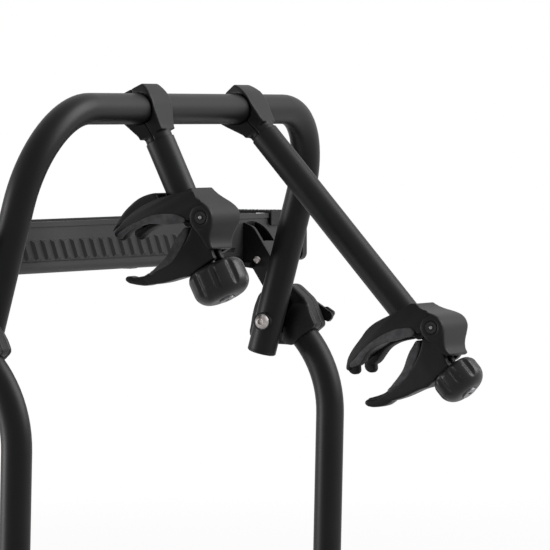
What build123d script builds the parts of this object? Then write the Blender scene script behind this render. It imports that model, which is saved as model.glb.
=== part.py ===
from build123d import *
import os
from math import atan, cos, radians, sin, tan

# Bike carrier for a rear door: a lower frame that rests on the door, an upper bow with two bike
# arms and a platform with two wheel trays, all three meeting in one hub on each side.
# X runs across the car, +Y away from it and +Z up. The origin is the middle of the rest pad's
# face, where the carrier meets the door.

os.makedirs("parts", exist_ok=True)

# Driving dimensions, in millimetres and degrees.
# Shared fits
running = 0.05
gap = 0.3

# Hub: the pivot line of bow, platform and lower frame
pivot_y = 72.5
pivot_z = 330.0
bolt_d = 12.0
bolt_head_d = 16.0

# Upper bow
bow_d = 30.0
bow_wall = 2.0
bow_leg_x = 301.0
bow_lean = 15.3
bow_length = 227.7
bow_foot = 31.0
bow_corner_r = 93.0

# Lower frame
lower_d = 29.0
lower_wall = 2.0
lower_inset = 10.2
lower_hub_bend_r = 117.0
lower_corner_r = 60.0
lower_knee_y = -54.1
lower_knee_z = -47.9
lower_start = 44.0
pad_thickness = 10.5
pad_length = 380.0
pad_height = 44.0

# Hub housings
hub_body_depth = 15.0
hub_cap_depth = 12.5
dome_y = -20.0
dome_z = -5.0
dome_r = 24.0
leg_clearance = 1.2
lip_thickness = 4.0

# Platform
plate_thickness = 5.0
tray_half = 470.0
tray_width = 62.0
tray_height = 50.2
tray_wall = 3.0
tray_y = 40.0
tray_z = 60.2
tray_pitch = 200.0
tray_step = 12.0
rail_width = 20.0
rail_low = 58.0
rail_high = 92.0
rail_wall = 2.5
rib_pitch = 20.0
rib_half_span = 300.0
strap_shift = -6.5
strap_width = 30.0
strap_thickness = 2.6
strap_drop = 13.0

# Bike arms
arm_d = 28.5
arm_wall = 1.8
collar_half = 20.0
collar_top_wall = 6.0
collar_root_wall = 12.5
collar_front_wall = 2.5
collar_nose_wall = 14.0
neck_length = 6.5
claw_offset = 22.5
head_half = 31.0
head_top = 32.0
cheek_slot = 12.3
jaw_half = 12.0
claw_pin_d = 8.0
spindle_d = 8.0
heel = 36.0
short_knob_r = 28.0
short_knob_length = 34.0
long_knob_r = 24.3
long_knob_length = 29.5
knob_lobes = 9


def save(part, name):
    part.label = name
    export_step(part, f"parts/{name}.step")


def hub_plane(x, y=0.0, z=0.0):
    """The plane across the pivot line at x, with sketch axes along +Y and +Z."""
    return Plane(origin=(x, pivot_y + y, pivot_z + z), x_dir=(0, 1, 0), z_dir=(1, 0, 0))


def turned(plane, angle):
    """The same plane with its sketch axes turned by an angle in degrees."""
    across = plane.x_dir * cos(radians(angle)) + plane.y_dir * sin(radians(angle))
    return Plane(origin=plane.origin, x_dir=across, z_dir=plane.z_dir)


# Upper bow: one bent tube
lean = radians(bow_lean)
bow_plane = Plane(
    origin=(0, pivot_y, pivot_z), x_dir=(1, 0, 0), z_dir=(0, -cos(lean), -sin(lean))
)
with BuildLine(bow_plane) as bow_path:
    FilletPolyline(
        (-bow_leg_x, -bow_foot),
        (-bow_leg_x, bow_length),
        (bow_leg_x, bow_length),
        (bow_leg_x, -bow_foot),
        radius=bow_corner_r,
    )
with BuildPart() as bow_tube:
    with BuildSketch(Plane(origin=bow_path.line @ 0, z_dir=bow_path.line % 0)):
        Circle(bow_d / 2)
        Circle(bow_d / 2 - bow_wall, mode=Mode.SUBTRACT)
    sweep(path=bow_path.line)
    with BuildSketch(hub_plane(0)):
        Circle(bolt_d / 2 + running)
    extrude(amount=bow_leg_x + bow_d, both=True, mode=Mode.SUBTRACT)
save(bow_tube.part, "bow_tube")

# Plugs that close the feet of the bow
plug_rim = 3.0
plug_depth = 14.0
with BuildPart() as leg_end_plugs:
    for x in (-bow_leg_x, bow_leg_x):
        foot = Plane(
            origin=bow_plane.from_local_coords((x, -bow_foot, 0)),
            x_dir=(1, 0, 0),
            z_dir=-bow_plane.y_dir,
        )
        with BuildSketch(foot):
            Circle(bow_d / 2)
        extrude(amount=plug_rim)
        with BuildSketch(foot):
            Circle(bow_d / 2 - bow_wall)
        extrude(amount=-plug_depth)
    chamfer(leg_end_plugs.faces().sort_by(Axis.Z)[:2].edges(), 1.2)
save(leg_end_plugs.part, "leg_end_plugs")

# Saddles that give the round legs flat seats for the pivot bolts
bow_in = bow_leg_x - bow_d / 2
bow_out = bow_leg_x + bow_d / 2
saddle_r = 9.5
saddle_rise = 2.0
spacer_r = 8.5
plate_in = bow_out + leg_clearance + lip_thickness + gap
with BuildPart() as right_saddles:
    with BuildSketch(hub_plane(bow_in - saddle_rise)):
        Circle(saddle_r)
    extrude(amount=bow_d / 2)
    with BuildSketch(hub_plane(bow_leg_x + bow_wall)):
        Circle(spacer_r)
    extrude(amount=plate_in - gap - bow_leg_x - bow_wall)
    with BuildSketch(Plane(origin=bow_path.line @ 1, z_dir=bow_path.line % 1)):
        Circle(bow_d / 2)
    extrude(amount=-bow_length, mode=Mode.SUBTRACT)
    with BuildSketch(hub_plane(0)):
        Circle(bolt_d / 2 + running)
    extrude(amount=bow_leg_x + bow_d, mode=Mode.SUBTRACT)
with BuildPart() as leg_saddles:
    add(right_saddles.part)
    mirror(about=Plane.YZ)
save(leg_saddles.part, "leg_saddles")

# Pivot bolts with their domed heads inboard and nuts under the hub caps
plate_out = plate_in + plate_thickness
hub_in = plate_out + gap
hub_mid = hub_in + hub_body_depth
hub_out = hub_mid + hub_cap_depth
head_height = 5.0
nut_height = 7.0
nut_across = 19.0
bolt_end = hub_mid + nut_height + 3.0
head_seat = bow_in - saddle_rise - running
head_dome_r = 9.9
pivot_key = 6.0
key_depth = 3.0
with BuildPart() as right_bolt:
    with BuildSketch(Plane(origin=(head_seat, pivot_y, pivot_z), x_dir=(-1, 0, 0), z_dir=(0, -1, 0))):
        with BuildLine():
            Line((0, 0), (head_height, 0))
            RadiusArc((head_height, 0), (0, bolt_head_d / 2), -head_dome_r)
            Line((0, bolt_head_d / 2), (0, 0))
        make_face()
    revolve(axis=Axis((0, pivot_y, pivot_z), (1, 0, 0)))
    with BuildSketch(hub_plane(head_seat)):
        Circle(bolt_d / 2)
    extrude(amount=bolt_end - head_seat)
    with BuildSketch(hub_plane(head_seat - head_height)):
        RegularPolygon(pivot_key / 2, 6, major_radius=False)
    extrude(amount=key_depth, mode=Mode.SUBTRACT)
with BuildPart() as pivot_bolts:
    add(right_bolt.part)
    mirror(about=Plane.YZ)
save(pivot_bolts.part, "pivot_bolts")
with BuildPart() as right_nut:
    with BuildSketch(hub_plane(hub_mid + gap)):
        RegularPolygon(nut_across / 2, 6, major_radius=False)
        Circle(bolt_d / 2, mode=Mode.SUBTRACT)
    extrude(amount=nut_height)
with BuildPart() as pivot_nuts:
    add(right_nut.part)
    mirror(about=Plane.YZ)
save(pivot_nuts.part, "pivot_nuts")

# Lower frame: one bent tube from hub to hub, with its crossbar behind the rest pad
bar_y = lower_d / 2 + pad_thickness
lower_leg_x = hub_in + lower_inset
knee = Vector(lower_leg_x, pivot_y + lower_knee_y, pivot_z + lower_knee_z)
turn = atan((knee.Y - bar_y) / knee.Z)
start_turn = radians(lower_start)
knee_run = lower_hub_bend_r * tan((start_turn - turn) / 2) + 1.5
tube_end = knee + Vector(0, sin(start_turn), cos(start_turn)) * knee_run
with BuildLine() as lower_path:
    FilletPolyline(
        (lower_leg_x, tube_end.Y, tube_end.Z),
        (lower_leg_x, knee.Y, knee.Z),
        (lower_leg_x, bar_y, 0),
        (-lower_leg_x, bar_y, 0),
        (-lower_leg_x, knee.Y, knee.Z),
        (-lower_leg_x, tube_end.Y, tube_end.Z),
        radius=[lower_hub_bend_r, lower_corner_r, lower_corner_r, lower_hub_bend_r],
    )
with BuildPart() as lower_frame_tube:
    with BuildSketch(Plane(origin=lower_path.line @ 0, z_dir=lower_path.line % 0)):
        Circle(lower_d / 2)
        Circle(lower_d / 2 - lower_wall, mode=Mode.SUBTRACT)
    sweep(path=lower_path.line)
save(lower_frame_tube.part, "lower_frame_tube")
with BuildPart() as lower_solid:
    with BuildSketch(Plane(origin=lower_path.line @ 0, z_dir=lower_path.line % 0)):
        Circle(lower_d / 2)
    sweep(path=lower_path.line)

# Rest pad: a rubber sleeve on the crossbar with a flat face towards the door
with BuildPart() as rest_pad:
    with BuildSketch(Plane.YZ):
        with Locations((bar_y, 0)):
            Circle(pad_height / 2)
        with Locations((bar_y / 2, 0)):
            Rectangle(bar_y, pad_height)
    extrude(amount=pad_length / 2, both=True)
    with BuildSketch(Plane.YZ):
        with Locations((bar_y, 0)):
            Circle(lower_d / 2)
    extrude(amount=pad_length, both=True, mode=Mode.SUBTRACT)
    fillet(rest_pad.edges().filter_by(Axis.X).group_by(Axis.Y)[0], 5.0)
save(rest_pad.part, "rest_pad")

# Hub body: a housing that holds the end of the lower tube, with a dome towards the bow's leg
lever_y = -17.0
lever_z = 19.0
lever_pin_d = 6.0
eye_r = 13.0
dome_front = -9.0
hub_edge = 3.5


hub_corners = [(31, -24), (17, 31), (-10, 39), (-30, 22), (-42, -5), (-15, -26)]
hub_rounds = [14, 14, 12, 20, 5, 5]
with BuildSketch() as hub_outline:
    with BuildLine():
        FilletPolyline(*hub_corners, radius=hub_rounds, close=True)
    make_face()
dome_top = bow_out + leg_clearance
dome_height = hub_in - dome_top
dome_sphere = (dome_r**2 + dome_height**2) / (2 * dome_height)
dome_axis = Axis((0, pivot_y + dome_y, pivot_z + dome_z), (1, 0, 0))
dome_profile = Plane(
    origin=(dome_top, pivot_y + dome_y, pivot_z + dome_z), x_dir=(1, 0, 0), z_dir=(0, -1, 0)
)
with BuildPart() as hub_dome:
    with BuildSketch(dome_profile):
        with BuildLine():
            Line((0, 0), (dome_height, 0))
            Line((dome_height, 0), (dome_height, dome_r))
            RadiusArc((dome_height, dome_r), (0, 0), -dome_sphere)
        make_face()
    revolve(axis=dome_axis)
    with BuildSketch(hub_plane(dome_top)):
        add(hub_outline.sketch)
    extrude(amount=dome_height, mode=Mode.INTERSECT)
    with BuildSketch(turned(hub_plane(dome_top), bow_lean)):
        with Locations((dome_front + dome_r, 0)):
            Rectangle(2 * dome_r, 4 * dome_r)
    extrude(amount=dome_height, mode=Mode.SUBTRACT)
    with BuildSketch(hub_plane(plate_in - gap)):
        Circle(eye_r + gap)
    extrude(amount=dome_height, mode=Mode.SUBTRACT)
    with BuildSketch(hub_plane(dome_top)):
        Circle(spacer_r + gap)
    extrude(amount=dome_height, mode=Mode.SUBTRACT)
with BuildPart() as hub_body_right:
    with BuildSketch(hub_plane(hub_in)):
        add(hub_outline.sketch)
    extrude(amount=hub_body_depth)
    fillet(hub_body_right.faces().sort_by(Axis.X)[0].edges(), hub_edge)
    add(hub_dome.part)
    with BuildSketch(hub_plane(hub_in)):
        Circle(bolt_d / 2)
    extrude(amount=hub_body_depth, mode=Mode.SUBTRACT)
    with BuildSketch(hub_plane(hub_mid, lever_y, lever_z)):
        Circle(lever_pin_d / 2)
    extrude(amount=-hub_body_depth / 2, mode=Mode.SUBTRACT)
    add(lower_solid.part, mode=Mode.SUBTRACT)
save(hub_body_right.part, "hub_body_right")
with BuildPart() as hub_body_left:
    add(hub_body_right.part)
    mirror(about=Plane.YZ, mode=Mode.REPLACE)
save(hub_body_left.part, "hub_body_left")

# Hub cap: a cover of the same outline with a dome over the nut
nut_dome_r = 16.0
nut_dome_height = 7.0
nut_room_r = 13.0
lever_boss_r = 7.0
lever_plate = 4.0
lever_boss_depth = 6.0
lever_in = hub_out + 1.2
with BuildPart() as hub_cap_right:
    with BuildSketch(hub_plane(hub_mid)):
        add(hub_outline.sketch)
    extrude(amount=hub_cap_depth)
    with BuildSketch(hub_plane(hub_mid)):
        Circle(nut_dome_r)
    extrude(amount=hub_cap_depth + nut_dome_height)
    fillet(hub_cap_right.faces().sort_by(Axis.X)[-1].edges(), hub_edge)
    fillet(hub_cap_right.faces().filter_by(Axis.X).sort_by(Axis.X)[-2].outer_wire().edges(), hub_edge)
    with BuildSketch(hub_plane(hub_mid)):
        Circle(nut_room_r)
    extrude(amount=hub_cap_depth + nut_dome_height / 2, mode=Mode.SUBTRACT)
    with BuildSketch(hub_plane(hub_mid, lever_y, lever_z)):
        Circle(lever_pin_d / 2)
    extrude(amount=hub_cap_depth, mode=Mode.SUBTRACT)
    with BuildSketch(hub_plane(lever_in - lever_boss_depth, lever_y, lever_z)):
        Circle(lever_boss_r + 2 * gap)
    extrude(amount=hub_cap_depth, mode=Mode.SUBTRACT)
    add(lower_solid.part, mode=Mode.SUBTRACT)
save(hub_cap_right.part, "hub_cap_right")
with BuildPart() as hub_cap_left:
    add(hub_cap_right.part)
    mirror(about=Plane.YZ, mode=Mode.REPLACE)
save(hub_cap_left.part, "hub_cap_left")

# Release levers on the outboard side of the hubs
lever_reach = 28.0
lever_slope = 212.0
pin_length = lever_in + lever_plate + 1.0 - hub_mid + hub_body_depth / 2
with BuildPart() as right_pin:
    with BuildSketch(hub_plane(hub_mid - hub_body_depth / 2, lever_y, lever_z)):
        Circle(lever_pin_d / 2)
    extrude(amount=pin_length)
    with BuildSketch(hub_plane(lever_in + lever_plate + gap, lever_y, lever_z)):
        Circle(lever_pin_d / 2 + 1.8)
    extrude(amount=1.6)
with BuildPart() as lever_pins:
    add(right_pin.part)
    mirror(about=Plane.YZ)
save(lever_pins.part, "lever_pins")
lever_face = turned(hub_plane(lever_in, lever_y, lever_z), lever_slope)
with BuildPart() as lever_right:
    with BuildSketch(lever_face):
        Circle(lever_boss_r)
        with Locations((lever_reach / 2, 0)):
            Rectangle(lever_reach, 11)
        with Locations((lever_reach, 0)):
            Circle(5.5)
    extrude(amount=lever_plate)
    with BuildSketch(lever_face):
        Circle(lever_boss_r)
    extrude(amount=-lever_boss_depth + gap)
    with BuildSketch(lever_face):
        Circle(lever_pin_d / 2 + running)
    extrude(amount=hub_cap_depth, both=True, mode=Mode.SUBTRACT)
save(lever_right.part, "lever_right")
grip_size = 13.0
grip_depth = 6.0
with BuildPart() as lever_grip_right:
    with BuildSketch(lever_face.offset(lever_plate)):
        with Locations((lever_reach - 3, 0)):
            RectangleRounded(grip_size, grip_size, 3)
    extrude(amount=grip_depth)
    fillet(lever_grip_right.faces().sort_by(Axis.X)[-1].edges(), 2.0)
save(lever_grip_right.part, "lever_grip_right")
with BuildPart() as lever_left:
    add(lever_right.part)
    mirror(about=Plane.YZ, mode=Mode.REPLACE)
save(lever_left.part, "lever_left")
with BuildPart() as lever_grip_left:
    add(lever_grip_right.part)
    mirror(about=Plane.YZ, mode=Mode.REPLACE)
save(lever_grip_left.part, "lever_grip_left")

# Platform brackets: a plate from the hub to the front tray, with a tongue under the tray
tongue_width = 24.0
tongue_low = tray_z - plate_thickness
rivet_d = 8.0
rivet_y = 23.9
rivet_z = 62.8
with BuildPart() as bracket_right:
    with BuildSketch(hub_plane(plate_in)):
        Circle(eye_r)
        with BuildLine():
            Polyline(
                (-eye_r * 0.8, 6),
                (5.4, 61.7),
                (28.4, 97),
                (tray_y, 101.5),
                (tray_y, tongue_low),
                (29, 53.5),
                (15.5, 32.7),
                (eye_r * 0.9, 5),
                (0, 0),
                close=True,
            )
        make_face()
    extrude(amount=plate_thickness)
    fillet(bracket_right.edges().filter_by(Axis.X).sort_by(Axis.Z)[-2], 12.0)
    with BuildSketch(Plane.XY.offset(pivot_z + tongue_low)):
        with Locations((plate_in + plate_thickness / 2, pivot_y + (28 + tray_y + tray_width) / 2)):
            Rectangle(tongue_width, tray_y + tray_width - 28)
    extrude(amount=plate_thickness)
    with BuildSketch(hub_plane(plate_in)):
        Circle(bolt_d / 2 + running)
        with Locations((rivet_y, rivet_z)):
            Circle(rivet_d / 4)
    extrude(amount=plate_thickness, mode=Mode.SUBTRACT)
    with BuildSketch(Plane.XY.offset(pivot_z + tongue_low)):
        with Locations(
            (plate_in + plate_thickness / 2, pivot_y + tray_y + 18),
            (plate_in + plate_thickness / 2, pivot_y + tray_y + tray_width - 18),
        ):
            Circle(4.0)
    extrude(amount=plate_thickness, mode=Mode.SUBTRACT)
save(bracket_right.part, "bracket_right")
with BuildPart() as bracket_left:
    add(bracket_right.part)
    mirror(about=Plane.YZ, mode=Mode.REPLACE)
save(bracket_left.part, "bracket_left")

# Stop rivets through the bracket plates
with BuildPart() as right_rivet:
    with BuildSketch(hub_plane(plate_in, rivet_y, rivet_z)):
        Circle(rivet_d / 4)
    extrude(amount=plate_thickness)
    with BuildSketch(hub_plane(plate_in, rivet_y, rivet_z)):
        Circle(rivet_d / 2)
    extrude(amount=-2.4)
    fillet(right_rivet.faces().sort_by(Axis.X)[0].edges(), 1.8)
    with BuildSketch(hub_plane(plate_out, rivet_y, rivet_z)):
        Circle(rivet_d / 2 - 1)
    extrude(amount=1.5)
with BuildPart() as bracket_rivets:
    add(right_rivet.part)
    mirror(about=Plane.YZ)
save(bracket_rivets.part, "bracket_rivets")

# Rails that carry the rear tray from the front one
rail_x = plate_in + plate_thickness / 2
rail_start = pivot_y + tray_y + tray_width
rail_end = pivot_y + tray_y + tray_pitch
rail_mid_z = pivot_z + (rail_low + rail_high) / 2
rail_height = rail_high - rail_low
bolt_rows = (rail_mid_z - 4, rail_mid_z + 10)
tray_bolt_d = 8.0
end_plate = 6.0
with BuildPart() as link_rail_right:
    with BuildSketch(Plane.XZ.offset(-rail_start)):
        with Locations((rail_x, rail_mid_z)):
            RectangleRounded(rail_width, rail_height, 3)
    extrude(amount=rail_start - rail_end)
    with BuildSketch(Plane.XZ.offset(-rail_start - end_plate)):
        with Locations((rail_x, rail_mid_z)):
            Rectangle(rail_width - 2 * rail_wall, rail_height - 2 * rail_wall)
    extrude(amount=rail_start - rail_end + 2 * end_plate, mode=Mode.SUBTRACT)
    with BuildSketch(Plane.XZ.offset(-rail_start)):
        with Locations(*[(rail_x, row) for row in bolt_rows]):
            Circle(tray_bolt_d / 2)
    extrude(amount=rail_start - rail_end, mode=Mode.SUBTRACT)
save(link_rail_right.part, "link_rail_right")
with BuildPart() as link_rail_left:
    add(link_rail_right.part)
    mirror(about=Plane.YZ, mode=Mode.REPLACE)
save(link_rail_left.part, "link_rail_left")

# Bolts that hold the trays: two at each rail end and two through each tongue
bolt_cap_r = 6.5
bolt_cap = 4.0
tongue_rows = (tray_y + 18, tray_y + tray_width - 18)
floor_top = pivot_z + tray_z + tray_wall


def bolt_at(seat, length):
    """A button-head bolt whose head sits on the seat plane and whose shank runs backwards."""
    with BuildPart() as bolt:
        with BuildSketch(seat):
            Circle(bolt_cap_r)
        extrude(amount=bolt_cap)
        with BuildSketch(seat):
            Circle(tray_bolt_d / 2)
        extrude(amount=-length)
    return bolt.part


seats = []
for row in bolt_rows:
    seats.append((Plane(origin=(rail_x, rail_start - tray_wall, row), z_dir=(0, -1, 0)), end_plate))
    seats.append((Plane(origin=(rail_x, rail_end + tray_wall, row), z_dir=(0, 1, 0)), end_plate))
for row in tongue_rows:
    seats.append((Plane(origin=(rail_x, pivot_y + row, floor_top)), plate_thickness))
right_bolts = [bolt_at(seat, tray_wall + grip) for seat, grip in seats]
with BuildPart() as right_tray_bolts:
    add(right_bolts)
with BuildPart() as tray_bolts:
    add(right_tray_bolts.part)
    mirror(about=Plane.YZ)
save(tray_bolts.part, "tray_bolts")

# Straps stand midway between the rails' buckles and the tray's end caps, shifted a little inwards
buckle_half = 23.0
cap_length = 9.0
strap_inner = rail_x + rail_width / 2 + buckle_half
strap_outer = tray_half - cap_length - strap_width / 2
strap_x = (strap_inner + strap_outer) / 2 + strap_shift

# Wheel trays: open channels with a rolled rim, slanted ribs and a window at each end
rim = 1.5
rim_height = 5.0
rib_height = 20.0
rib_low = 13.0
rib_lean = 12.0
rib_width = 11.0
rib_rise = 2.6
rib_slope = 40.0
groove = 1.4
window_gap = 3.5
window_in = plate_out + window_gap
window_out = strap_x
window_low = 20.8
window_high = 42.0
cap_wall = 1.6


def tray_outline(y, z, grow):
    """The channel's outer shape, grown by a wall."""
    with Locations((pivot_y + y + tray_width / 2, pivot_z + z + tray_height / 2)):
        Rectangle(tray_width + 2 * grow, tray_height + 2 * grow)


def make_tray(name, y, z, window_sides):
    front = Plane(origin=(0, pivot_y + y, pivot_z + z), x_dir=(1, 0, 0), z_dir=(0, -1, 0))
    with BuildPart() as tray:
        with BuildSketch(Plane.YZ):
            tray_outline(y, z, 0)
        extrude(amount=tray_half, both=True)
        fillet(tray.edges().filter_by(Axis.X).group_by(Axis.Z)[0], 7.0)
        with BuildSketch(Plane.YZ):
            with Locations((pivot_y + y + tray_width / 2, pivot_z + z + tray_height - rim_height / 2)):
                Rectangle(tray_width + 2 * rim, rim_height)
        extrude(amount=tray_half - cap_length, both=True)
        with BuildSketch(Plane.YZ):
            with Locations((pivot_y + y + tray_width / 2, pivot_z + z + tray_height / 2 + tray_wall)):
                Rectangle(tray_width - 2 * tray_wall, tray_height)
        extrude(amount=tray_half, both=True, mode=Mode.SUBTRACT)
        with BuildSketch(front):
            with GridLocations(rib_pitch, 0, int(2 * rib_half_span / rib_pitch), 1):
                with Locations((0, rib_low + rib_height / 2)):
                    Polygon(
                        (-(rib_lean + rib_width) / 2, rib_height / 2),
                        ((rib_width - rib_lean) / 2, rib_height / 2),
                        ((rib_lean + rib_width) / 2, -rib_height / 2),
                        ((rib_lean - rib_width) / 2, -rib_height / 2),
                        align=None,
                    )
        extrude(amount=rib_rise, taper=rib_slope)
        with BuildSketch(front):
            with Locations((0, rib_low - groove)):
                Rectangle(2 * rib_half_span, groove)
        extrude(amount=-groove, mode=Mode.SUBTRACT)
        for side in window_sides:
            with BuildSketch(front):
                with BuildLine():
                    Line((side * window_in, window_low), (side * window_out, window_low))
                    ThreePointArc(
                        (side * window_out, window_low),
                        (side * (window_in + window_out * 2) / 3, (window_low + 2 * window_high) / 3),
                        (side * window_in, window_high),
                    )
                    Line((side * window_in, window_high), (side * window_in, window_low))
                make_face()
            extrude(amount=-tray_wall, mode=Mode.SUBTRACT)
        add(tray_bolts.part, mode=Mode.SUBTRACT)
    save(tray.part, name)
    return tray.part


tray_front = make_tray("tray_front", tray_y, tray_z, (-1, 1))
tray_rear = make_tray("tray_rear", tray_y + tray_pitch, tray_z - tray_step, ())


def make_tray_caps(name, tray, y, z):
    """Sleeves that close the sharp ends of a tray's walls."""
    with BuildPart() as right_cap:
        with BuildSketch(Plane.YZ.offset(tray_half - cap_length)):
            tray_outline(y, z, cap_wall)
        extrude(amount=cap_length + cap_wall)
        fillet(right_cap.edges().filter_by(Axis.X).group_by(Axis.Z)[0], 8.0)
        with BuildSketch(Plane.YZ.offset(tray_half - cap_length)):
            with Locations((pivot_y + y + tray_width / 2, pivot_z + z + tray_height / 2 + tray_wall)):
                Rectangle(tray_width - 2 * tray_wall, tray_height)
        extrude(amount=cap_length + cap_wall, mode=Mode.SUBTRACT)
        add(tray, mode=Mode.SUBTRACT)
    with BuildPart() as caps:
        add(right_cap.part)
        mirror(about=Plane.YZ)
    save(caps.part, name)


make_tray_caps("tray_caps_front", tray_front, tray_y, tray_z)
make_tray_caps("tray_caps_rear", tray_rear, tray_y + tray_pitch, tray_z - tray_step)

# Wheel straps lie flat across the trays, and end in ratchet buckles on the far walls
buckle_depth = 15.0
buckle_high = 6.0
buckle_low = 36.0
buckle_pin_d = 4.0
buckle_pin_y = 10.0
buckle_pin_z = 11.0
buckle_floor = 6.0
buckle_pocket = 15.0
buckle_lever_length = 27.0


def strap_profile(y, top):
    """The strap's bent section, from the front wall over the tray to the buckle."""
    front = pivot_y + y - rim
    back = pivot_y + y + tray_width + rim
    Polyline(
        (front, top - strap_drop),
        (front, top),
        (back, top),
        (back, top - buckle_low),
        (back + strap_thickness, top - buckle_low),
        (back + strap_thickness, top + strap_thickness),
        (front - strap_thickness, top + strap_thickness),
        (front - strap_thickness, top - strap_drop),
        close=True,
    )


def make_buckles(row, y, z):
    """The straps, buckle bases, pins and levers of one tray."""
    top = pivot_z + z + tray_height
    wall = pivot_y + y + tray_width
    with BuildPart() as straps:
        for x in (-strap_x, strap_x):
            with BuildSketch(Plane.YZ.offset(x)):
                with BuildLine():
                    strap_profile(y, top)
                make_face()
            extrude(amount=strap_width / 2, both=True)
    save(straps.part, f"wheel_straps_{row}")
    with BuildPart() as bases:
        for x in (-strap_x, strap_x):
            with BuildSketch(Plane.YZ.offset(x)):
                with Locations((wall + buckle_depth / 2, top - (buckle_high + buckle_low) / 2)):
                    Rectangle(buckle_depth, buckle_low - buckle_high)
            extrude(amount=buckle_half, both=True)
        fillet(bases.faces().sort_by(Axis.Y)[-2:].edges().filter_by(Axis.X), 4.0)
        for x in (-strap_x, strap_x):
            with BuildSketch(Plane.YZ.offset(x)):
                with Locations((wall + buckle_depth, top - buckle_low / 2 - buckle_high / 2)):
                    Rectangle(2 * (buckle_depth - buckle_floor), buckle_low)
            extrude(amount=buckle_pocket, both=True, mode=Mode.SUBTRACT)
            with BuildSketch(Plane.YZ.offset(x)):
                with Locations((wall + buckle_pin_y, top - buckle_pin_z)):
                    Circle(buckle_pin_d / 2)
            extrude(amount=buckle_half, both=True, mode=Mode.SUBTRACT)
        add(straps.part, mode=Mode.SUBTRACT)
    save(bases.part, f"buckle_bases_{row}")
    with BuildPart() as pins:
        for x in (-strap_x, strap_x):
            with BuildSketch(Plane.YZ.offset(x)):
                with Locations((wall + buckle_pin_y, top - buckle_pin_z)):
                    Circle(buckle_pin_d / 2)
            extrude(amount=buckle_half, both=True)
    save(pins.part, f"buckle_pins_{row}")
    for side, x in (("left", -strap_x), ("right", strap_x)):
        with BuildPart() as lever:
            hinge = Plane(
                origin=(x, wall + buckle_pin_y, top - buckle_pin_z), x_dir=(0, 1, 0), z_dir=(1, 0, 0)
            )
            with BuildSketch(hinge):
                Circle(3.6)
                with BuildLine():
                    Polyline(
                        (-3.4, 1.0),
                        (3.4, 1.0),
                        (3.6, -10),
                        (6.5, -buckle_lever_length),
                        (3.0, -buckle_lever_length - 1.5),
                        (0.2, -12),
                        (-3.4, -1.0),
                        close=True,
                    )
                make_face()
                Circle(buckle_pin_d / 2 + running, mode=Mode.SUBTRACT)
            extrude(amount=buckle_pocket - gap, both=True)
        save(lever.part, f"buckle_lever_{row}_{side}")


make_buckles("front", tray_y, tray_z)
make_buckles("rear", tray_y + tray_pitch, tray_z - tray_step)

# Bike arms: a two-part collar on the bow, a tube and a claw worked by a knob
collar_top = bow_d / 2 + collar_top_wall
collar_root = bow_d / 2 + collar_root_wall
collar_nose = bow_d / 2 + collar_nose_wall
collar_front_w = bow_d / 2 + collar_front_wall
neck_r = 13.2
collar_root_half = 13.5
spigot = 30.0
clamp_bolt_d = 6.0
clamp_head_r = 5.0
clamp_bolt_u = bow_d / 2 + 5.0
clamp_bolt_seat = 9.0
clamp_bolt_tip = 9.0
tube_in_head = 26.0
boss_r = 11.5
boss_rise = 1.0
screw_head = 3.0
screw_head_r = 6.0
knuckle_r = 7.0
barrel_r = 5.0
barrel_half = 10.0
barrel_u = -9.0
groove_r = 3.8
knob_round = 14.0
lock_r = 7.5
lock_depth = 5.0
tip_half = 24.5
head_foot = 22.0
notch_half = 12.5
notch_start = 84.0
jaw_tip_half = 7.0
jaw_pad_half = 10.0
claw_reach = 97.5


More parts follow.
